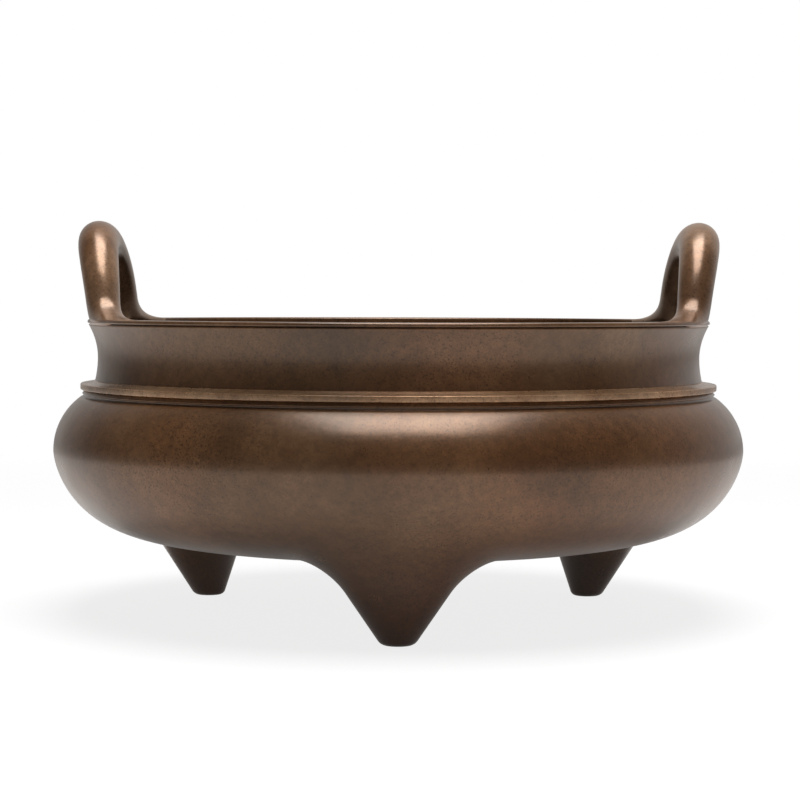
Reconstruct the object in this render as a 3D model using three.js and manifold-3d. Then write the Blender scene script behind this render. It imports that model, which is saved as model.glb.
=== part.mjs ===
// Bronze tripod incense burner: a squat bowl on three conical feet, with a waisted neck,
// a raised band at the neck's foot and two upright loop handles on the lip.
// Millimetres, +Z up, origin on the floor under the centre, -Y is the front, handles at +X and -X.
import * as THREE from 'three';
import { mergeVertices } from 'three/addons/utils/BufferGeometryUtils.js';
import Module from 'manifold-3d';

const wasm = await Module();
wasm.setup();

// Driving dimensions
const CLEARANCE = 0.3;
const SEGMENTS = 48;

const BELLY = {
  radius: 120,
  equator: 57.3,
  bottom: 24.7,
  wall: 4.5,
  shoulderArc: 22.5,
  floorPower: 1.6,
  sidePower: 6.9,
};
const SEAT = { z: 78.2, inset: 17.4, width: 3.1, mouthDepth: 7.2 };
const GROOVE = { ledge: 3.9, height: 2.4 };
const NECK = { footHeight: 2.9, waistDraw: 1, waistHeight: 11.1, topFlare: 2.1 };
const LIP = { z: 102.3, overhang: 0.4, width: 9.1, bead: 1.2, crease: 0.5, edge: 0.7 };
const SPIGOT_DEPTH = 6.9;
const BAND = { width: 5, face: 1.7, rise: 3.2, edge: 0.4 };
const FOOT = {
  inset: 39.2,
  tip: 5.4,
  tipEdge: 1.4,
  spread: 0.665,
  outward: 0.547,
  inward: 0.213,
  fillet: 9,
  overlap: 1,
  rearAngle: 120,
};
const FOOT_PIN = { radius: 2.5, bottom: 13 };
const HANDLE = {
  halfWidth: 25.7,
  rise: 27.2,
  barHalf: 7.05,
  legHalfThickness: 5.2,
  inset: 0.45,
  lean: 0.05,
  rootAngle: 14,
  rootOuter: 55,
  rootInner: 16.6,
  rootBend: 34.5,
};
// Radii that follow from the belly's, so that the castings stay seated on each other
const MOUTH_RADIUS = BELLY.radius - SEAT.inset;
const NECK_FOOT = MOUTH_RADIUS + SEAT.width;
const NECK_TOP = NECK_FOOT + NECK.topFlare;
const LIP_OUTER = NECK_TOP + LIP.overhang;
const LIP_INNER = LIP_OUTER - LIP.width;
const BAND_OUTER = NECK_FOOT + BAND.width;
const LEG_RADIUS = (LIP_INNER + LIP_OUTER) / 2 - HANDLE.inset;
const FOOT_CIRCLE = BELLY.radius - FOOT.inset;
const HANDLE_PIN = { radius: 1.75, below: 6, above: 8 };

// Steps that only set how fine the surfaces are
const STEPS = {
  floor: 12,
  shoulder: 5,
  neck: 4,
  footRound: 24,
  filletRows: 5,
  coneRows: 4,
  bar: 14,
  arch: 16,
  root: 4,
  pin: 12,
};

const bronze = (color, roughness) => new THREE.MeshStandardMaterial({ color, roughness, metalness: 0.6 });
const MATERIALS = {
  body: bronze(0x5a3e24, 0.38),
  band: bronze(0x6b4b2b, 0.34),
  foot: bronze(0x49301f, 0.4),
  pin: bronze(0x3a281a, 0.5),
};

const part = new THREE.Group();

function addPiece(name, geometry, material) {
  const mesh = new THREE.Mesh(geometry, material);
  mesh.name = name;
  part.add(mesh);
}

// Closed meshes and their solids
function signedVolume(geometry) {
  const p = geometry.attributes.position;
  const a = new THREE.Vector3();
  const b = new THREE.Vector3();
  const c = new THREE.Vector3();
  let volume = 0;
  for (let i = 0; i < geometry.index.count; i += 3) {
    a.fromBufferAttribute(p, geometry.index.getX(i));
    b.fromBufferAttribute(p, geometry.index.getX(i + 1));
    c.fromBufferAttribute(p, geometry.index.getX(i + 2));
    volume += a.dot(b.cross(c)) / 6;
  }
  return volume;
}

function closed(geometry) {
  geometry.deleteAttribute('normal');
  geometry.deleteAttribute('uv');
  const merged = mergeVertices(geometry, 1e-4);
  const kept = [];
  const index = merged.index.array;
  for (let i = 0; i < index.length; i += 3) {
    const [a, b, c] = [index[i], index[i + 1], index[i + 2]];
    if (a !== b && b !== c && c !== a) kept.push(a, b, c);
  }
  merged.setIndex(kept);
  if (signedVolume(merged) < 0) merged.setIndex(kept.toReversed());
  merged.computeVertexNormals();
  return merged;
}

function toSolid(geometry) {
  const vertProperties = new Float32Array(geometry.attributes.position.array);
  const triVerts = new Uint32Array(geometry.index.array);
  return new wasm.Manifold(new wasm.Mesh({ numProp: 3, vertProperties, triVerts }));
}

function toGeometry(solid) {
  const mesh = solid.getMesh();
  const geometry = new THREE.BufferGeometry();
  geometry.setAttribute('position', new THREE.BufferAttribute(new Float32Array(mesh.vertProperties), 3));
  geometry.setIndex(Array.from(mesh.triVerts));
  geometry.computeVertexNormals();
  return geometry;
}

function cut(geometry, ...tools) {
  return toGeometry(tools.reduce((solid, tool) => solid.subtract(toSolid(tool)), toSolid(geometry)));
}

// A profile of [radius, height] points turned round the vertical axis
function turned(profile) {
  const points = profile.map(([radius, z]) => new THREE.Vector2(radius, z));
  const lathe = new THREE.LatheGeometry(points, SEGMENTS);
  lathe.rotateX(Math.PI / 2);
  return closed(lathe);
}

// Rings of equal length joined side to side and closed with a fan at each end
function lofted(rings) {
  const count = rings[0].length;
  const points = rings.flat();
  const index = [];
  for (let r = 0; r < rings.length - 1; r += 1) {
    for (let i = 0; i < count; i += 1) {
      const j = (i + 1) % count;
      const a = r * count + i;
      const b = r * count + j;
      index.push(a, b, b + count, a, b + count, a + count);
    }
  }
  for (const [ring, start, flip] of [[rings[0], 0, true], [rings.at(-1), points.length - count, false]]) {
    const centre = new THREE.Vector3();
    ring.forEach((point) => centre.addScaledVector(point, 1 / count));
    const tip = points.push(centre) - 1;
    for (let i = 0; i < count; i += 1) {
      const a = start + i;
      const b = start + ((i + 1) % count);
      index.push(tip, ...(flip ? [b, a] : [a, b]));
    }
  }
  const geometry = new THREE.BufferGeometry().setFromPoints(points);
  geometry.setIndex(index);
  return closed(geometry);
}

function upright(x, y, bottom, top, radius) {
  const cylinder = new THREE.CylinderGeometry(radius, radius, top - bottom, STEPS.pin);
  cylinder.rotateX(Math.PI / 2);
  cylinder.translate(x, y, (bottom + top) / 2);
  return closed(cylinder);
}

// Bowl: lower curve, shoulder arc, groove and mouth
function floorHeight(radius, inset) {
  const full = BELLY.radius - inset;
  const depth = BELLY.equator - BELLY.bottom - inset;
  const share = Math.min(1, radius / full);
  return BELLY.equator - depth * (1 - share ** BELLY.sidePower) ** (1 / BELLY.floorPower);
}

function lowerCurve(inset) {
  const points = [[0, BELLY.bottom + inset]];
  for (let i = 1; i <= STEPS.floor; i += 1) {
    const radius = (BELLY.radius - inset) * Math.sin((Math.PI / 2) * (i / STEPS.floor));
    points.push([radius, floorHeight(radius, inset)]);
  }
  return points;
}

function shoulderCurve(inset, top) {
  const arc = BELLY.shoulderArc - inset;
  const centre = BELLY.radius - BELLY.shoulderArc;
  const last = Math.asin((top - BELLY.equator) / arc);
  const points = [];
  for (let i = 1; i <= STEPS.shoulder; i += 1) {
    const angle = last * (i / STEPS.shoulder);
    points.push([centre + arc * Math.cos(angle), BELLY.equator + arc * Math.sin(angle)]);
  }
  return points;
}

function bowlShell() {
  const mouthEnd = SEAT.z - SEAT.mouthDepth;
  const outside = [
    ...lowerCurve(0),
    ...shoulderCurve(0, SEAT.z - GROOVE.height),
    [NECK_FOOT + GROOVE.ledge, SEAT.z - GROOVE.height],
    [NECK_FOOT + GROOVE.ledge, SEAT.z],
  ];
  const inside = [...lowerCurve(BELLY.wall), ...shoulderCurve(BELLY.wall, mouthEnd - BELLY.wall)];
  return turned([...outside, [MOUTH_RADIUS, SEAT.z], [MOUTH_RADIUS, mouthEnd], ...inside.reverse()]);
}

function bellyEnvelope() {
  return turned([...lowerCurve(-CLEARANCE), [0, BELLY.equator]]);
}

// Neck with its spigot and lip
function neckCurve() {
  const foot = new THREE.Vector2(NECK_FOOT, SEAT.z + NECK.footHeight);
  const waist = new THREE.Vector2(NECK_FOOT - NECK.waistDraw, SEAT.z + NECK.waistHeight);
  const top = new THREE.Vector2(NECK_TOP, LIP.z - LIP.bead - LIP.crease);
  const lowBend = new THREE.Vector2(waist.x, (foot.y + waist.y) / 2);
  const highBend = new THREE.Vector2(waist.x, (waist.y + top.y) / 2);
  const lower = new THREE.QuadraticBezierCurve(foot, lowBend, waist);
  const upper = new THREE.QuadraticBezierCurve(waist, highBend, top);
  return [...lower.getPoints(STEPS.neck), ...upper.getPoints(STEPS.neck).slice(1)].map((p) => [p.x, p.y]);
}

function neckRing() {
  const spigotRadius = MOUTH_RADIUS - CLEARANCE;
  const creaseZ = LIP.z - LIP.bead;
  const profile = [
    [LIP_INNER, SEAT.z - SPIGOT_DEPTH],
    [spigotRadius, SEAT.z - SPIGOT_DEPTH],
    [spigotRadius, SEAT.z],
    [NECK_FOOT, SEAT.z],
    ...neckCurve(),
    [NECK_TOP - LIP.crease, creaseZ],
    [LIP_OUTER, creaseZ + LIP.crease / 2],
    [LIP_OUTER, LIP.z - LIP.edge / 2],
    [LIP_OUTER - LIP.edge, LIP.z],
    [LIP_INNER + LIP.edge, LIP.z],
    [LIP_INNER, LIP.z - LIP.edge],
    [LIP_INNER, SEAT.z - SPIGOT_DEPTH],
  ];
  return turned(profile);
}

function bandRing() {
  const inner = NECK_FOOT + CLEARANCE;
  return turned([
    [inner, SEAT.z],
    [BAND_OUTER - BAND.edge, SEAT.z],
    [BAND_OUTER, SEAT.z + BAND.edge],
    [BAND_OUTER, SEAT.z + BAND.face],
    [BAND_OUTER - BAND.edge, SEAT.z + BAND.face + BAND.edge],
    [inner, SEAT.z + BAND.rise],
    [inner, SEAT.z],
  ]);
}

// Feet: a leaning cone whose top sweeps into the belly with a concave fillet
function conePoint(azimuth, z) {
  const rounding = z < FOOT.tipEdge ? FOOT.tipEdge * (1 - Math.sqrt(1 - (1 - z / FOOT.tipEdge) ** 2)) : 0;
  const tip = FOOT.tip - rounding;
  const along = FOOT_CIRCLE + ((FOOT.outward - FOOT.inward) / 2) * z;
  const radial = tip + ((FOOT.outward + FOOT.inward) / 2) * z;
  const across = tip + FOOT.spread * z;
  return new THREE.Vector3(along + radial * Math.cos(azimuth), across * Math.sin(azimuth), z);
}

function meetHeight(azimuth) {
  let low = FOOT.tipEdge;
  let high = BELLY.equator;
  while (high - low > CLEARANCE / 100) {
    const middle = (low + high) / 2;
    const point = conePoint(azimuth, middle);
    if (floorHeight(Math.hypot(point.x, point.y), 0) > middle) low = middle;
    else high = middle;
  }
  return low;
}

function footColumn(azimuth) {
  const meetZ = meetHeight(azimuth);
  const meet = conePoint(azimuth, meetZ);
  const coneEnd = meetZ - FOOT.fillet;
  const column = [conePoint(azimuth, 0), conePoint(azimuth, FOOT.tipEdge / 2)];
  for (let i = 0; i < STEPS.coneRows; i += 1) {
    column.push(conePoint(azimuth, FOOT.tipEdge + (coneEnd - FOOT.tipEdge) * (i / STEPS.coneRows)));
  }
  const outward = new THREE.Vector2(meet.x - FOOT_CIRCLE, meet.y).setLength(FOOT.fillet);
  const landing = new THREE.Vector3(meet.x + outward.x, meet.y + outward.y, 0);
  landing.z = floorHeight(Math.hypot(landing.x, landing.y), 0) + FOOT.overlap;
  const fillet = new THREE.QuadraticBezierCurve3(conePoint(azimuth, coneEnd), meet, landing);
  column.push(...fillet.getPoints(STEPS.filletRows));
  column.push(new THREE.Vector3(landing.x, landing.y, landing.z + BELLY.wall));
  return column;
}

function footBlank(angle) {
  const columns = [];
  for (let i = 0; i < STEPS.footRound; i += 1) {
    columns.push(footColumn((2 * Math.PI * i) / STEPS.footRound));
  }
  const up = new THREE.Vector3(0, 0, 1);
  const turnedRow = (row) => columns.map((column) => column[row].clone().applyAxisAngle(up, angle));
  const rings = columns[0].map((_, row) => turnedRow(row));
  return lofted(rings);
}

// Handles: a bar between an inner and an outer arch, bent round the lip
function archPoint(angle, side) {
  const offset = side * HANDLE.barHalf;
  return [(HANDLE.halfWidth + offset) * Math.cos(angle), (HANDLE.rise + offset) * Math.sin(angle)];
}

function rootPoint(t, side) {
  const end = archPoint(THREE.MathUtils.degToRad(HANDLE.rootAngle), side);
  const start = [side > 0 ? HANDLE.rootOuter : HANDLE.rootInner, 0];
  const bend = [side > 0 ? HANDLE.rootBend : HANDLE.halfWidth - HANDLE.barHalf, CLEARANCE];
  return [0, 1].map((k) => (1 - t) ** 2 * start[k] + 2 * t * (1 - t) * bend[k] + t * t * end[k]);
}

function barPairs() {
  const first = THREE.MathUtils.degToRad(HANDLE.rootAngle);
  const half = [];
  for (let i = 0; i < STEPS.root; i += 1) {
    half.push([rootPoint(i / STEPS.root, -1), rootPoint(i / STEPS.root, 1)]);
  }
  for (let i = 0; i < STEPS.arch / 2; i += 1) {
    const angle = first + (Math.PI / 2 - first) * (i / (STEPS.arch / 2));
    half.push([archPoint(angle, -1), archPoint(angle, 1)]);
  }
  const mirrored = half.map(([inner, outer]) => [[-inner[0], inner[1]], [-outer[0], outer[1]]]);
  return [...half, [archPoint(Math.PI / 2, -1), archPoint(Math.PI / 2, 1)], ...mirrored.reverse()];
}

function onLip(along, radius, height, side) {
  const angle = along / LEG_RADIUS;
  return new THREE.Vector3(side * radius * Math.cos(angle), radius * Math.sin(angle), LIP.z + height);
}

function handleBlank(side) {
  const rings = barPairs().map(([inner, outer]) => {
    const middle = [(inner[0] + outer[0]) / 2, (inner[1] + outer[1]) / 2];
    const grow = Math.min(1, middle[1] / HANDLE.rise);
    const thickness = THREE.MathUtils.lerp(HANDLE.legHalfThickness, HANDLE.barHalf, grow);
    const ring = [];
    for (let i = 0; i < STEPS.bar; i += 1) {
      const turn = (2 * Math.PI * i) / STEPS.bar;
      const along = middle[0] + ((outer[0] - inner[0]) / 2) * Math.cos(turn);
      const height = middle[1] + ((outer[1] - inner[1]) / 2) * Math.cos(turn);
      const radius = LEG_RADIUS + HANDLE.lean * height + thickness * Math.sin(turn);
      ring.push(onLip(along, radius, height, side));
    }
    return ring;
  });
  return lofted(rings);
}

// Pins and the holes for them
const footAngles = [
  ['front', -Math.PI / 2],
  ['rear_right', -Math.PI / 2 + THREE.MathUtils.degToRad(FOOT.rearAngle)],
  ['rear_left', -Math.PI / 2 - THREE.MathUtils.degToRad(FOOT.rearAngle)],
];

function footPin(angle, clearance, topExtra) {
  const top = floorHeight(FOOT_CIRCLE - FOOT_PIN.radius, BELLY.wall);
  const x = FOOT_CIRCLE * Math.cos(angle);
  const y = FOOT_CIRCLE * Math.sin(angle);
  return upright(x, y, FOOT_PIN.bottom, top + topExtra, FOOT_PIN.radius + clearance);
}

function handlePin(side, end, clearance) {
  const place = onLip(end * HANDLE.halfWidth, LEG_RADIUS, 0, side);
  const radius = HANDLE_PIN.radius + clearance;
  return upright(place.x, place.y, LIP.z - HANDLE_PIN.below, LIP.z + HANDLE_PIN.above, radius);
}

const handleSides = [['right', 1], ['left', -1]];
const handleEnds = [['rear', 1], ['front', -1]];

const floorHoles = footAngles.map(([, angle]) => footPin(angle, CLEARANCE, BELLY.wall));
addPiece('bowl', cut(bowlShell(), ...floorHoles), MATERIALS.body);

const legHoles = (side) => handleEnds.map(([, end]) => handlePin(side, end, CLEARANCE));
const lipHoles = handleSides.flatMap(([, side]) => legHoles(side));
addPiece('neck_collar', cut(neckRing(), ...lipHoles), MATERIALS.body);
addPiece('string_band', bandRing(), MATERIALS.band);

for (const [name, side] of handleSides) {
  addPiece(`handle_${name}`, cut(handleBlank(side), ...legHoles(side)), MATERIALS.body);
  for (const [place, end] of handleEnds) {
    addPiece(`handle_pin_${name}_${place}`, handlePin(side, end, 0), MATERIALS.pin);
  }
}

for (const [name, angle] of footAngles) {
  const hole = footPin(angle, CLEARANCE, BELLY.wall);
  addPiece(`foot_${name}`, cut(footBlank(angle), bellyEnvelope(), hole), MATERIALS.foot);
  addPiece(`foot_pin_${name}`, footPin(angle, 0, 0), MATERIALS.pin);
}

export default part;
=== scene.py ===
"""Looks of a bronze tripod incense burner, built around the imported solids.

Lengths of the object and the floor are in millimetres and become metres in make_object.
The front is -Y and the handles are at +X and -X.
"""
import math
from collections import namedtuple

import bmesh
import bpy
from mathutils import Matrix, Vector


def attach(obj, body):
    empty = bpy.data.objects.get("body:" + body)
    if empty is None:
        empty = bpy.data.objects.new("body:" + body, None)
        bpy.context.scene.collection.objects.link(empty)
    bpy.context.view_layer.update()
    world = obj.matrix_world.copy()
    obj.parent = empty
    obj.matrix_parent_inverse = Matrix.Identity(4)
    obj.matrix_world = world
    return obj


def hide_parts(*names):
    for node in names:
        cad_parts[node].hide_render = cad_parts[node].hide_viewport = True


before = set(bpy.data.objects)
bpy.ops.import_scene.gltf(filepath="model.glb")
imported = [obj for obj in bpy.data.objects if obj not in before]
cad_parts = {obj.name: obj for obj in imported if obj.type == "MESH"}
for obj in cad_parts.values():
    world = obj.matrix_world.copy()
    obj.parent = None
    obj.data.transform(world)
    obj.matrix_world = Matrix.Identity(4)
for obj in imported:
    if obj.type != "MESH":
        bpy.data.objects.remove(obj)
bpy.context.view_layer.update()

MM = 0.001

# Steps that only set how fine the surfaces are
ROUND_STEPS = 288
FLOOR_STEPS = 90
SHOULDER_STEPS = 26
INSIDE_FLOOR_STEPS = 60
INSIDE_SHOULDER_STEPS = 12
NECK_LOWER_STEPS = 14
NECK_UPPER_STEPS = 18
LIP_EDGE_STEPS = 8
BAND_EDGE_STEPS = 5
BEVEL_STEPS = 8
FOOT_STEPS = 96
CONE_ROWS = 12
FILLET_ROWS = 18
HALVINGS = 40
BAR_STEPS = 40
ROOT_STEPS = 16
ARCH_STEPS = 40

# Camera, fitted to the photograph, with lengths in metres and angles in radians
CAMERA_DISTANCE = 782.7 * MM
CAMERA_HEIGHT = 109.2 * MM
CAMERA_PITCH = 0.04486
CAMERA_YAW = 0.00069
CAMERA_ROLL = 0.00331
CAMERA_LENS = 100.27
CAMERA_REACH = 50
SENSOR_WIDTH = 36.0

# Studio: lamp in metres and watts, floor in millimetres; a span is a range from low to high
LAMP_PLACE = (0.04, -0.12, 0.95)
LAMP_TARGET = (0.04, -0.12, 0)
LAMP_SIZE = (0.6, 0.9)
LAMP_POWER = 14.5
BRIGHT_SIDE = (0.25, 0.95, 0.0)
BRIGHT_SPAN = (0.2, 0.95)
WORLD_SPAN = (0.09, 0.7)
FLOOR_HALF = 4000.0
FLOOR_COLOR = (0.9, 0.9, 0.9, 1)
FLOOR_FADE_SPAN = (0.2, 0.8)
FLOOR_WHITE_SPAN = (0.82, 1.0)
FLOOR_GLOSSY_SHARE = 0.3

# Bowl
BELLY_RADIUS = 120.0
EQUATOR = 57.3
BOTTOM = 24.7
WALL = 4.5
SHOULDER_ARC = 22.5
FLOOR_POWER = 1.6
SIDE_POWER = 6.9
SEAT = 78.2
MOUTH_RADIUS = 102.6
MOUTH_DEPTH = 7.2
GROOVE_RADIUS = 109.7
GROOVE_HEIGHT = 2.6
GROOVE_BEAD = 0.35
GROOVE_SLOPE = 0.35
GROOVE_CREST_HALF = 0.1
GROOVE_CORNER_OUT = 0.25
GROOVE_CORNER_UP = 0.12

# Neck and lip
NECK_FOOT = 105.7
NECK_FOOT_HEIGHT = 2.9
WAIST_RADIUS = 104.7
WAIST_HEIGHT = 11.1
NECK_TOP = 107.8
SPIGOT_DEPTH = 6.9
SPIGOT_GAP = 0.02
LIP_TOP = 102.3
LIP_OUTER = 108.2
LIP_INNER = 99.1
LIP_BEAD = 1.3
LIP_EDGE = 0.8
LIP_UNDERSIDE = -0.6
CREASE = 0.5
CREASE_START = 0.35
CREASE_SOFTENING = 0.15

# Band
BAND_OUTER = 110.7
BAND_FACE = 1.7
BAND_RISE = 3.2
BAND_EDGE = 0.35
BAND_OVERLAP = 0.1
BAND_EDGE_END = 1.2
BEVEL_START_IN = 0.5
BEVEL_START_UP = 0.33
BEVEL_BEND_RADIUS = 107.6
BEVEL_BEND_UP = 0.35

# Feet; each skirt step is how far past the landing and how deep in the wall
FOOT_CIRCLE = 80.8
FOOT_TIP = 5.4
TIP_EDGE = 1.4
TIP_SHARES = (0, 0.05, 0.15, 0.3, 0.5, 0.75)
FOOT_SPREAD = 0.665
FOOT_OUTWARD = 0.547
FOOT_INWARD = 0.213
FILLET = 10.5
FILLET_PULL = 0.62
LANDING_GAP = 0.02
SKIRT = ((0.8, 0.0), (2.0, 0.15), (3.5, 0.6))
CAP_DEPTH = 1.5
CAP_SHARES = (0.75, 0.5, 0.25)
FOOT_ANGLES = {"front": -90.0, "rear_right": 30.0, "rear_left": 150.0}

# Handles
HANDLE_HALF_WIDTH = 25.7
HANDLE_RISE = 27.2
BAR_HALF = 7.05
LEG_HALF_THICKNESS = 5.35
LEG_RADIUS = 103.2
LEAN = 0.05
ROOT_ANGLE = math.radians(14)
ROOT_OUTER = 55.0
ROOT_INNER = 16.6
ROOT_BEND = 34.5
ROOT_BEND_HEIGHT = 0.3
ROOT_DIP = 1.9
ROOT_BLEND = 9.0
ROOT_BOXINESS = 0.45
HANDLE_SIDES = {"right": 1, "left": -1}

# Patina, and painted shade on the low parts: a noise is scale per metre, detail and roughness; tones
# multiply the colour; lengths in metres
WHITE = (1, 1, 1, 1)
BLACK = (0, 0, 0, 1)
MOTTLE_NOISE = (22.0, 5.0, 0.6)
MOTTLE_STOPS = (0.32, 0.5, 0.72)
GRAIN_NOISE = (420.0, 3.0, 0.6)
GRAIN_TONE = [(0.3, (0.78, 0.77, 0.75, 1)), (0.7, (1.16, 1.15, 1.13, 1))]
PATCH_NOISE = (9.0, 3.0, 0.5)
PATCH_MASK = [(0.45, BLACK), (0.68, WHITE)]
PATCH_TONE = (1.18, 0.98, 0.8, 1)
SPECK_NOISE = (1500.0, 2.0, 0.6)
SPECK_TONE = [(0.34, (0.42, 0.38, 0.35, 1)), (0.44, WHITE), (0.58, WHITE), (0.70, (1.35, 1.33, 1.3, 1))]
SPECK_AREA_NOISE = (16.0, 3.0, 0.6)
SPECK_AREA_MASK = [(0.35, (0.25, 0.25, 0.25, 1)), (0.65, WHITE)]
# Painted shade: below these heights in metres the colour is multiplied by this tone, on the feet and the
# bottom of the belly
LOW_SHADE_SPAN = (0.012, 0.042)
LOW_SHADE_TONE = (0.5, 0.4, 0.33, 1)
EDGE_TONE = [(0.42, (0.4, 0.38, 0.36, 1)), (0.495, WHITE), (0.51, WHITE), (0.6, (1.7, 1.6, 1.5, 1))]
ROUGHNESS_NOISE = (60.0, 6.0, 0.65)
SPECULAR_LEVEL = 0.72
SPECULAR_TINT = (1, 0.92, 0.84, 1)
GRAIN_BUMP = {"strength": 0.16, "distance": 0.0002}
DENT_NOISE = (35.0, 2.0, 0.4)
DENT_BUMP = {"strength": 0.25, "distance": 0.0008}

# Which of the bowl's faces look inwards: least upward share, and most outward reach in metres
INSIDE_UPWARD = 0.5
INSIDE_OUTWARD = -0.001

Finish = namedtuple("Finish", "dark warm worn metallic roughness_span")
FINISHES = {
    "patinated_bronze": Finish(
        dark=(0.052, 0.024, 0.009, 1), warm=(0.094, 0.045, 0.019, 1), worn=(0.135, 0.072, 0.034, 1),
        metallic=0.3, roughness_span=(0.22, 0.37)),
    # Painted highlight: a lighter copy of the bronze for the band, standing in for the softbox reflected
    # on its face
    "band_bronze": Finish(
        dark=(0.11, 0.06, 0.03, 1), warm=(0.21, 0.125, 0.07, 1), worn=(0.36, 0.24, 0.15, 1),
        metallic=0.4, roughness_span=(0.22, 0.34)),
    # Painted highlight: a lighter copy of the bronze for the handles, standing in for the pale
    # reflections along them
    "handle_bronze_painted_highlight": Finish(
        dark=(0.08, 0.042, 0.021, 1), warm=(0.14, 0.08, 0.045, 1), worn=(0.24, 0.16, 0.105, 1),
        metallic=0.35, roughness_span=(0.23, 0.36)),
    "inside_bronze": Finish(
        dark=(0.03, 0.019, 0.011, 1), warm=(0.06, 0.04, 0.024, 1), worn=(0.12, 0.09, 0.065, 1),
        metallic=0.1, roughness_span=(0.5, 0.75)),
    "pin_bronze": Finish(
        dark=(0.035, 0.02, 0.01, 1), warm=(0.055, 0.03, 0.014, 1), worn=(0.08, 0.045, 0.02, 1),
        metallic=0.25, roughness_span=(0.4, 0.6)),
}


def mix(a, b, t):
    return a + (b - a) * t


def bezier(points, steps):
    """Points on a Bezier curve of any degree, both ends included."""
    out = []
    for i in range(steps + 1):
        t = i / steps
        level = [Vector(p) for p in points]
        while len(level) > 1:
            level = [a.lerp(b, t) for a, b in zip(level, level[1:])]
        out.append(level[0])
    return out


def profile_bezier(points, steps):
    """A Bezier curve in the profile plane, as (radius, height) pairs."""
    return [(p.x, p.y) for p in bezier([(radius, z, 0) for radius, z in points], steps)]


def arc(centre, radius, start, end, steps):
    """Points on a circle in the profile plane, angles in radians."""
    angles = [mix(start, end, i / steps) for i in range(steps + 1)]
    return [(centre[0] + radius * math.cos(a), centre[1] + radius * math.sin(a)) for a in angles]


def make_object(name, points, faces):
    mesh = bpy.data.meshes.new(name)
    mesh.from_pydata([tuple(c * MM for c in p) for p in points], [], faces)
    mesh.validate()
    mesh.update()
    for polygon in mesh.polygons:
        polygon.use_smooth = True
    piece = bpy.data.objects.new(name, mesh)
    bpy.context.scene.collection.objects.link(piece)
    return piece


def outward(piece):
    """Turns a closed mesh so that its faces point out."""
    work = bmesh.new()
    work.from_mesh(piece.data)
    bmesh.ops.recalc_face_normals(work, faces=work.faces)
    work.to_mesh(piece.data)
    work.free()
    return piece


def turned(name, profile):
    """A closed (radius, height) profile turned round the axis; a point on the axis stays one point."""
    points = []
    rings = []
    for radius, z in profile:
        if radius == 0:
            points.append((0, 0, z))
            rings.append([len(points) - 1] * ROUND_STEPS)
            continue
        ring = []
        for i in range(ROUND_STEPS):
            a = 2 * math.pi * i / ROUND_STEPS
            points.append((radius * math.cos(a), radius * math.sin(a), z))
            ring.append(len(points) - 1)
        rings.append(ring)
    faces = []
    for low, high in zip(rings, rings[1:] + rings[:1]):
        for i in range(ROUND_STEPS):
            j = (i + 1) % ROUND_STEPS
            corners = list(dict.fromkeys([low[i], low[j], high[j], high[i]]))
            if len(corners) > 2:
                faces.append(corners)
    return outward(make_object(name, points, faces))


def lofted(name, rings):
    """Rings of equal length joined side to side and closed at both ends."""
    count = len(rings[0])
    points = [tuple(p) for ring in rings for p in ring]
    faces = []
    for r in range(len(rings) - 1):
        for i in range(count):
            j = (i + 1) % count
            faces.append((r * count + i, r * count + j, (r + 1) * count + j, (r + 1) * count + i))
    for ring, start in ((rings[0], 0), (rings[-1], (len(rings) - 1) * count)):
        centre = sum((Vector(p) for p in ring), Vector((0, 0, 0))) / count
        points.append(tuple(centre))
        faces += [(len(points) - 1, start + i, start + (i + 1) % count) for i in range(count)]
    return outward(make_object(name, points, faces))


# Bowl
def floor_height(radius, inset=0.0):
    full = BELLY_RADIUS - inset
    depth = EQUATOR - BOTTOM - inset
    share = min(1.0, radius / full)
    return EQUATOR - depth * (1 - share ** SIDE_POWER) ** (1 / FLOOR_POWER)


def lower_curve(inset, steps):
    radii = [(BELLY_RADIUS - inset) * math.sin(math.pi / 2 * i / steps) for i in range(steps + 1)]
    return [(r, floor_height(r, inset)) for r in radii]


def shoulder_curve(inset, top, steps):
    radius = SHOULDER_ARC - inset
    last = math.asin((top - EQUATOR) / radius)
    return arc((BELLY_RADIUS - SHOULDER_ARC, EQUATOR), radius, 0, last, steps)[1:]


def groove_curve():
    """Two shallow lines with a fine bead between them."""
    low = SEAT - GROOVE_HEIGHT
    middle = low + GROOVE_HEIGHT * 0.5
    return [
        (GROOVE_RADIUS + GROOVE_CORNER_OUT, low + GROOVE_CORNER_UP),
        (GROOVE_RADIUS, low + GROOVE_SLOPE),
        (GROOVE_RADIUS, middle - GROOVE_SLOPE),
        (GROOVE_RADIUS + GROOVE_BEAD, middle - GROOVE_CREST_HALF),
        (GROOVE_RADIUS + GROOVE_BEAD, middle + GROOVE_CREST_HALF),
        (GROOVE_RADIUS, middle + GROOVE_SLOPE),
        (GROOVE_RADIUS, SEAT),
    ]


def build_bowl():
    mouth_end = SEAT - MOUTH_DEPTH
    outer_shoulder = shoulder_curve(0, SEAT - GROOVE_HEIGHT, SHOULDER_STEPS)
    inner_shoulder = shoulder_curve(WALL, mouth_end - WALL, INSIDE_SHOULDER_STEPS)
    outside = lower_curve(0, FLOOR_STEPS) + outer_shoulder + groove_curve()
    inside = lower_curve(WALL, INSIDE_FLOOR_STEPS) + inner_shoulder
    profile = outside + [(MOUTH_RADIUS, SEAT), (MOUTH_RADIUS, mouth_end)] + inside[::-1]
    piece = turned("vessel_bowl", profile)
    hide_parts("bowl")
    return piece


# Neck and band
def neck_curve():
    foot = (NECK_FOOT, SEAT + NECK_FOOT_HEIGHT)
    waist = (WAIST_RADIUS, SEAT + WAIST_HEIGHT)
    top = (NECK_TOP, LIP_TOP - LIP_BEAD - CREASE)
    lower = profile_bezier([foot, (waist[0], (foot[1] + waist[1]) / 2), waist], NECK_LOWER_STEPS)
    upper = profile_bezier([waist, (waist[0], (waist[1] + top[1]) / 2), top], NECK_UPPER_STEPS)
    return lower + upper[1:]


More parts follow.
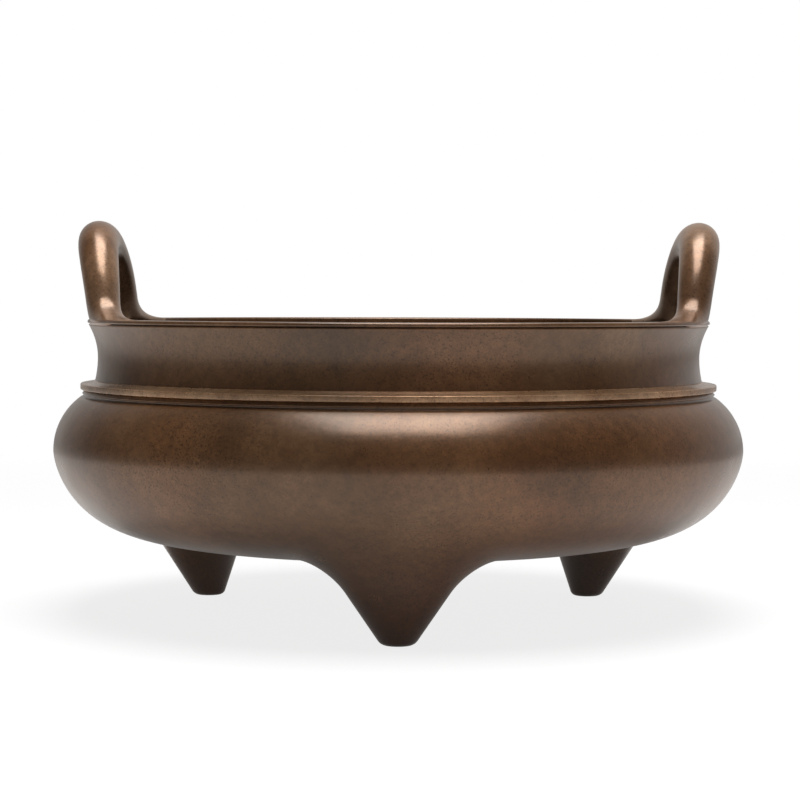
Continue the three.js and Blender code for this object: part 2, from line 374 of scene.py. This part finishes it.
def build_neck():
    bead_low = LIP_TOP - LIP_BEAD
    spigot_radius = MOUTH_RADIUS - SPIGOT_GAP
    edge_z = LIP_TOP - LIP_EDGE
    outer_centre = (LIP_OUTER - LIP_EDGE, edge_z)
    inner_centre = (LIP_INNER + LIP_EDGE, edge_z)
    outer_round = arc(outer_centre, LIP_EDGE, LIP_UNDERSIDE, math.pi / 2, LIP_EDGE_STEPS)
    inner_round = arc(inner_centre, LIP_EDGE, math.pi / 2, math.pi, LIP_EDGE_STEPS)
    profile = [
        (LIP_INNER, SEAT - SPIGOT_DEPTH),
        (spigot_radius, SEAT - SPIGOT_DEPTH),
        (spigot_radius, SEAT),
        (NECK_FOOT, SEAT),
        *neck_curve(),
        (NECK_TOP - CREASE_SOFTENING, bead_low - CREASE_START),
        (NECK_TOP - CREASE, bead_low - CREASE_SOFTENING),
        (NECK_TOP - CREASE, bead_low),
        *outer_round,
        *inner_round,
    ]
    piece = turned("vessel_neck", profile)
    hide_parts("neck_collar")
    return piece


def build_band():
    inner = NECK_FOOT - BAND_OVERLAP
    face_top = SEAT + BAND_FACE
    edge_radius = BAND_OUTER - BAND_EDGE
    low_centre = (edge_radius, SEAT + BAND_EDGE)
    low_round = arc(low_centre, BAND_EDGE, -math.pi / 2, 0, BAND_EDGE_STEPS)
    high_round = arc((edge_radius, face_top), BAND_EDGE, 0, BAND_EDGE_END, BAND_EDGE_STEPS)
    start = (BAND_OUTER - BEVEL_START_IN, face_top + BEVEL_START_UP)
    bend = (BEVEL_BEND_RADIUS, face_top + BEVEL_BEND_UP)
    bevel = profile_bezier([start, bend, (inner, SEAT + BAND_RISE)], BEVEL_STEPS)
    piece = turned("vessel_band", [(inner, SEAT), *low_round, *high_round, *bevel])
    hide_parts("string_band")
    return piece


# Feet
def cone_point(azimuth, z):
    rounding = 0.0
    if z < TIP_EDGE:
        rounding = TIP_EDGE * (1 - math.sqrt(1 - (1 - z / TIP_EDGE) ** 2))
    tip = FOOT_TIP - rounding
    along = FOOT_CIRCLE + (FOOT_OUTWARD - FOOT_INWARD) / 2 * z
    radial = tip + (FOOT_OUTWARD + FOOT_INWARD) / 2 * z
    across = tip + FOOT_SPREAD * z
    return Vector((along + radial * math.cos(azimuth), across * math.sin(azimuth), z))


def belly_point(x, y, depth):
    """A point that far inside the belly's wall, measured upwards from its outer face."""
    return Vector((x, y, floor_height(math.hypot(x, y)) + depth))


def meet_height(azimuth):
    """Height at which the cone's side reaches the belly."""
    low, high = TIP_EDGE, EQUATOR
    for _ in range(HALVINGS):
        middle = (low + high) / 2
        point = cone_point(azimuth, middle)
        if floor_height(math.hypot(point.x, point.y)) > middle:
            low = middle
        else:
            high = middle
    return low


def foot_column(azimuth):
    """One upright line of the foot: tip, cone, fillet, skirt along the belly and hidden cap."""
    meet_z = meet_height(azimuth)
    meet = cone_point(azimuth, meet_z)
    cone_end = meet_z - FILLET
    away = Vector((meet.x - FOOT_CIRCLE, meet.y)).normalized()
    landing = belly_point(meet.x + away.x * FILLET, meet.y + away.y * FILLET, -LANDING_GAP)
    before = belly_point(landing.x - away.x, landing.y - away.y, -LANDING_GAP)
    tangent = (landing - before).normalized()
    start = cone_point(azimuth, cone_end)
    rise = (meet - start).normalized()
    pull = FILLET * FILLET_PULL
    column = [cone_point(azimuth, TIP_EDGE * share) for share in TIP_SHARES]
    column += [cone_point(azimuth, mix(TIP_EDGE, cone_end, i / CONE_ROWS)) for i in range(CONE_ROWS)]
    column += bezier([start, start + rise * pull, landing - tangent * pull, landing], FILLET_ROWS)
    for reach, depth in SKIRT:
        column.append(belly_point(landing.x + away.x * reach, landing.y + away.y * reach, depth))
    edge = column[-1]
    for share in CAP_SHARES:
        column.append(belly_point(mix(FOOT_CIRCLE, edge.x, share), edge.y * share, CAP_DEPTH))
    return column


def build_foot(name, angle):
    columns = [foot_column(2 * math.pi * i / FOOT_STEPS) for i in range(FOOT_STEPS)]
    turn = Matrix.Rotation(math.radians(angle), 3, "Z")
    rings = [[turn @ column[row] for column in columns] for row in range(len(columns[0]))]
    piece = lofted("foot_cone_" + name, rings)
    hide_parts("foot_" + name)
    return piece


# Handles
def arch_point(angle, side):
    half_width = HANDLE_HALF_WIDTH + side * BAR_HALF
    rise = HANDLE_RISE + side * BAR_HALF
    return Vector((half_width * math.cos(angle), rise * math.sin(angle)))


def root_point(t, side):
    end = arch_point(ROOT_ANGLE, side)
    start = Vector((ROOT_OUTER if side > 0 else ROOT_INNER, 0))
    bend = Vector((ROOT_BEND if side > 0 else HANDLE_HALF_WIDTH - BAR_HALF, ROOT_BEND_HEIGHT))
    return start * (1 - t) ** 2 + bend * 2 * t * (1 - t) + end * t * t


def bar_pairs():
    """Inner and outer points of the bar, from one root over the arch to the other."""
    half = [(root_point(i / ROOT_STEPS, -1), root_point(i / ROOT_STEPS, 1)) for i in range(ROOT_STEPS)]
    for i in range(ARCH_STEPS):
        angle = mix(ROOT_ANGLE, math.pi / 2, i / ARCH_STEPS)
        half.append((arch_point(angle, -1), arch_point(angle, 1)))
    top = (arch_point(math.pi / 2, -1), arch_point(math.pi / 2, 1))
    flip = [(Vector((-a.x, a.y)), Vector((-b.x, b.y))) for a, b in half]
    return half + [top] + flip[::-1]


def bar_ring(inner, outer, side):
    """The bar's section between two points, bent round the lip and boxier near the roots."""
    middle = (inner + outer) / 2
    reach = (outer - inner) / 2
    thickness = mix(LEG_HALF_THICKNESS, BAR_HALF, min(1, middle.y / HANDLE_RISE))
    boxy = mix(ROOT_BOXINESS, 1.0, min(1, middle.y / ROOT_BLEND))
    ring = []
    for i in range(BAR_STEPS):
        turn = 2 * math.pi * i / BAR_STEPS
        along = middle.x + reach.x * math.cos(turn)
        height = middle.y + reach.y * math.cos(turn)
        side_share = math.copysign(abs(math.sin(turn)) ** boxy, math.sin(turn))
        radius = LEG_RADIUS + LEAN * height + thickness * side_share
        angle = along / LEG_RADIUS
        ring.append((side * radius * math.cos(angle), radius * math.sin(angle), LIP_TOP + height))
    return ring


def sunk(ring):
    """The ring drawn in to the neck's top and let down into the lip."""
    out = []
    for x, y, z in ring:
        radius = math.hypot(x, y)
        shrink = min(radius, NECK_TOP) / radius
        out.append((x * shrink, y * shrink, z - ROOT_DIP))
    return out


def build_handle(name, side):
    rings = [bar_ring(inner, outer, side) for inner, outer in bar_pairs()]
    piece = lofted("handle_loop_" + name, [sunk(rings[0]), *rings, sunk(rings[-1])])
    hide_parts("handle_" + name)
    return piece


# Materials
def node_maker(tree):
    """Gives a function that adds a node to the tree and sets the node's own properties."""
    def add(kind, **properties):
        node = tree.nodes.new(kind)
        for key, value in properties.items():
            setattr(node, key, value)
        return node
    return add


def ramp(tree, add, source, stops):
    node = add("ShaderNodeValToRGB")
    node.color_ramp.elements[0].position, node.color_ramp.elements[0].color = stops[0]
    node.color_ramp.elements[1].position, node.color_ramp.elements[1].color = stops[-1]
    for position, color in stops[1:-1]:
        node.color_ramp.elements.new(position).color = color
    tree.links.new(source, node.inputs["Fac"])
    return node.outputs["Color"]


def map_range(tree, add, source, from_span=(0.0, 1.0), to_span=(0.0, 1.0)):
    node = add("ShaderNodeMapRange")
    node.inputs["From Min"].default_value, node.inputs["From Max"].default_value = from_span
    node.inputs["To Min"].default_value, node.inputs["To Max"].default_value = to_span
    tree.links.new(source, node.inputs["Value"])
    return node.outputs["Result"]


def noise(tree, add, coords, scale, detail, rough):
    node = add("ShaderNodeTexNoise")
    node.inputs["Scale"].default_value = scale
    node.inputs["Detail"].default_value = detail
    node.inputs["Roughness"].default_value = rough
    tree.links.new(coords, node.inputs["Vector"])
    return node.outputs["Fac"]


def blend_colors(tree, add, factor, a, b, mode="MIX"):
    """Mixes two colours; the factor and the colours are values or sockets."""
    node = add("ShaderNodeMix", data_type="RGBA", blend_type=mode)
    for socket, value in ((node.inputs[0], factor), (node.inputs[6], a), (node.inputs[7], b)):
        if hasattr(value, "is_output"):
            tree.links.new(value, socket)
        else:
            socket.default_value = value
    return node.outputs[2]


def bump(tree, add, height, strength, distance):
    node = add("ShaderNodeBump")
    node.inputs["Strength"].default_value = strength
    node.inputs["Distance"].default_value = distance
    tree.links.new(height, node.inputs["Height"])
    return node


def patina_and_low_shade_color(tree, add, coords, grain, finish):
    """Slow mottling, warm patches, small pits, painted shade on the low parts and lighter worn edges."""
    cloud = noise(tree, add, coords, *MOTTLE_NOISE)
    color = ramp(tree, add, cloud, list(zip(MOTTLE_STOPS, (finish.dark, finish.warm, finish.worn))))
    color = blend_colors(tree, add, 1.0, color, ramp(tree, add, grain, GRAIN_TONE), "MULTIPLY")
    patch = ramp(tree, add, noise(tree, add, coords, *PATCH_NOISE), PATCH_MASK)
    warmer = blend_colors(tree, add, 1.0, color, PATCH_TONE, "MULTIPLY")
    color = blend_colors(tree, add, patch, color, warmer)
    specks = ramp(tree, add, noise(tree, add, coords, *SPECK_NOISE), SPECK_TONE)
    speckled = blend_colors(tree, add, 1.0, color, specks, "MULTIPLY")
    area = ramp(tree, add, noise(tree, add, coords, *SPECK_AREA_NOISE), SPECK_AREA_MASK)
    color = blend_colors(tree, add, area, color, speckled)
    # Painted shade: the colour is multiplied down towards the floor, on the feet and the bottom of the
    # belly
    place = add("ShaderNodeSeparateXYZ")
    tree.links.new(coords, place.inputs[0])
    above = map_range(tree, add, place.outputs["Z"], from_span=LOW_SHADE_SPAN)
    low_shaded = blend_colors(tree, add, 1.0, color, LOW_SHADE_TONE, "MULTIPLY")
    color = blend_colors(tree, add, above, low_shaded, color)
    edge = ramp(tree, add, add("ShaderNodeNewGeometry").outputs["Pointiness"], EDGE_TONE)
    return blend_colors(tree, add, 1.0, color, edge, "MULTIPLY")


def bronze(name):
    """Brown patina with a fine grain and shallow dents, and painted shade on the low parts."""
    finish = FINISHES[name]
    material = bpy.data.materials.new(name)
    material.use_nodes = True
    tree = material.node_tree
    add = node_maker(tree)
    shader = tree.nodes["Principled BSDF"]
    coords = add("ShaderNodeTexCoord").outputs["Object"]
    grain = noise(tree, add, coords, *GRAIN_NOISE)
    tree.links.new(patina_and_low_shade_color(tree, add, coords, grain, finish), shader.inputs["Base Color"])
    wear = noise(tree, add, coords, *ROUGHNESS_NOISE)
    roughness = map_range(tree, add, wear, to_span=finish.roughness_span)
    tree.links.new(roughness, shader.inputs["Roughness"])
    shader.inputs["Metallic"].default_value = finish.metallic
    shader.inputs["Specular IOR Level"].default_value = SPECULAR_LEVEL
    shader.inputs["Specular Tint"].default_value = SPECULAR_TINT
    fine = bump(tree, add, grain, **GRAIN_BUMP)
    broad = bump(tree, add, noise(tree, add, coords, *DENT_NOISE), **DENT_BUMP)
    tree.links.new(fine.outputs["Normal"], broad.inputs["Normal"])
    tree.links.new(broad.outputs["Normal"], shader.inputs["Normal"])
    return material


def finish_piece(piece, material):
    piece.data.materials.clear()
    piece.data.materials.append(material)
    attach(piece, "root")


def line_inside(piece, material):
    """Gives the faces that look at the bowl's hollow their own dull finish."""
    piece.data.materials.append(material)
    for polygon in piece.data.polygons:
        centre = polygon.center
        across = polygon.normal.x * centre.x + polygon.normal.y * centre.y
        floor_face = polygon.normal.z > INSIDE_UPWARD and centre.z < EQUATOR * MM
        if floor_face or across < INSIDE_OUTWARD:
            polygon.material_index = 1


def finish_pins(material):
    for node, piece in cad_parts.items():
        if "_pin_" in node:
            for slot in piece.material_slots:
                slot.material = material


# Stage
def stage_material():
    """White for the camera far from the object, a little shaded near it, partly white in reflections."""
    material = bpy.data.materials.new("pale_floor")
    material.use_nodes = True
    tree = material.node_tree
    tree.nodes.clear()
    add = node_maker(tree)
    output = add("ShaderNodeOutputMaterial")
    diffuse = add("ShaderNodeBsdfDiffuse")
    diffuse.inputs["Color"].default_value = FLOOR_COLOR
    glow = add("ShaderNodeEmission")
    glow.inputs["Color"].default_value = WHITE
    glow.inputs["Strength"].default_value = 1.0
    paths = add("ShaderNodeLightPath")
    distance = add("ShaderNodeVectorMath", operation="LENGTH")
    tree.links.new(add("ShaderNodeTexCoord").outputs["Object"], distance.inputs[0])
    fade = map_range(tree, add, distance.outputs["Value"], FLOOR_FADE_SPAN, FLOOR_WHITE_SPAN)
    seen = add("ShaderNodeMath", operation="MULTIPLY")
    tree.links.new(fade, seen.inputs[1])
    tree.links.new(paths.outputs["Is Camera Ray"], seen.inputs[0])
    share = add("ShaderNodeMath", operation="MULTIPLY_ADD")
    share.inputs[1].default_value = FLOOR_GLOSSY_SHARE
    tree.links.new(paths.outputs["Is Glossy Ray"], share.inputs[0])
    tree.links.new(seen.outputs[0], share.inputs[2])
    blend = add("ShaderNodeMixShader")
    tree.links.new(share.outputs[0], blend.inputs[0])
    tree.links.new(diffuse.outputs[0], blend.inputs[1])
    tree.links.new(glow.outputs[0], blend.inputs[2])
    tree.links.new(blend.outputs[0], output.inputs["Surface"])
    return material


def build_floor():
    half = FLOOR_HALF
    corners = [(-half, -half, 0), (half, -half, 0), (half, half, 0), (-half, half, 0)]
    floor = make_object("studio_floor", corners, [(0, 1, 2, 3)])
    floor.data.materials.append(stage_material())


def build_world():
    """White for the camera; for light and reflections bright behind and dim in front."""
    world = bpy.data.worlds.new("studio")
    bpy.context.scene.world = world
    world.use_nodes = True
    tree = world.node_tree
    add = node_maker(tree)
    background = tree.nodes["Background"]
    facing = add("ShaderNodeVectorMath", operation="DOT_PRODUCT")
    facing.inputs[1].default_value = BRIGHT_SIDE
    tree.links.new(add("ShaderNodeTexCoord").outputs["Generated"], facing.inputs[0])
    fade = map_range(tree, add, facing.outputs["Value"], BRIGHT_SPAN, WORLD_SPAN)
    shown = add("ShaderNodeMix", data_type="FLOAT")
    tree.links.new(add("ShaderNodeLightPath").outputs["Is Camera Ray"], shown.inputs[0])
    tree.links.new(fade, shown.inputs[2])
    shown.inputs[3].default_value = 1.0
    background.inputs["Color"].default_value = WHITE
    tree.links.new(shown.outputs[0], background.inputs["Strength"])


def build_lamp():
    data = bpy.data.lights.new("overhead_softbox", "AREA")
    data.shape = "RECTANGLE"
    data.size, data.size_y = LAMP_SIZE
    data.energy = LAMP_POWER
    lamp = bpy.data.objects.new("overhead_softbox", data)
    direction = Vector(LAMP_TARGET) - Vector(LAMP_PLACE)
    turn = direction.to_track_quat("-Z", "Y").to_matrix().to_4x4()
    lamp.matrix_world = Matrix.Translation(LAMP_PLACE) @ turn
    bpy.context.scene.collection.objects.link(lamp)


def build_camera():
    forward = Vector((math.sin(CAMERA_YAW) * math.cos(CAMERA_PITCH),
                      math.cos(CAMERA_YAW) * math.cos(CAMERA_PITCH),
                      -math.sin(CAMERA_PITCH)))
    level = Vector((math.cos(CAMERA_YAW), -math.sin(CAMERA_YAW), 0))
    upright = level.cross(forward)
    right = level * math.cos(CAMERA_ROLL) + upright * math.sin(CAMERA_ROLL)
    up = upright * math.cos(CAMERA_ROLL) - level * math.sin(CAMERA_ROLL)
    data = bpy.data.cameras.new("studio_camera")
    data.sensor_width = SENSOR_WIDTH
    data.lens = CAMERA_LENS
    data.clip_end = CAMERA_REACH
    camera = bpy.data.objects.new("studio_camera", data)
    turn = Matrix((right, up, -forward)).transposed().to_4x4()
    camera.matrix_world = Matrix.Translation((0, -CAMERA_DISTANCE, CAMERA_HEIGHT)) @ turn
    bpy.context.scene.collection.objects.link(camera)
    bpy.context.scene.camera = camera


build_camera()
build_floor()
build_world()
build_lamp()

body_bronze = bronze("patinated_bronze")
band_bronze = bronze("band_bronze")
handle_bronze_painted_highlight = bronze("handle_bronze_painted_highlight")
inside_bronze = bronze("inside_bronze")
pin_bronze = bronze("pin_bronze")

bowl = build_bowl()
finish_piece(bowl, body_bronze)
line_inside(bowl, inside_bronze)
finish_piece(build_neck(), body_bronze)
finish_piece(build_band(), band_bronze)
for name, side in HANDLE_SIDES.items():
    finish_piece(build_handle(name, side), handle_bronze_painted_highlight)
for name, angle in FOOT_ANGLES.items():
    finish_piece(build_foot(name, angle), body_bronze)
finish_pins(pin_bronze)

bpy.context.scene.view_settings.view_transform = "Standard"
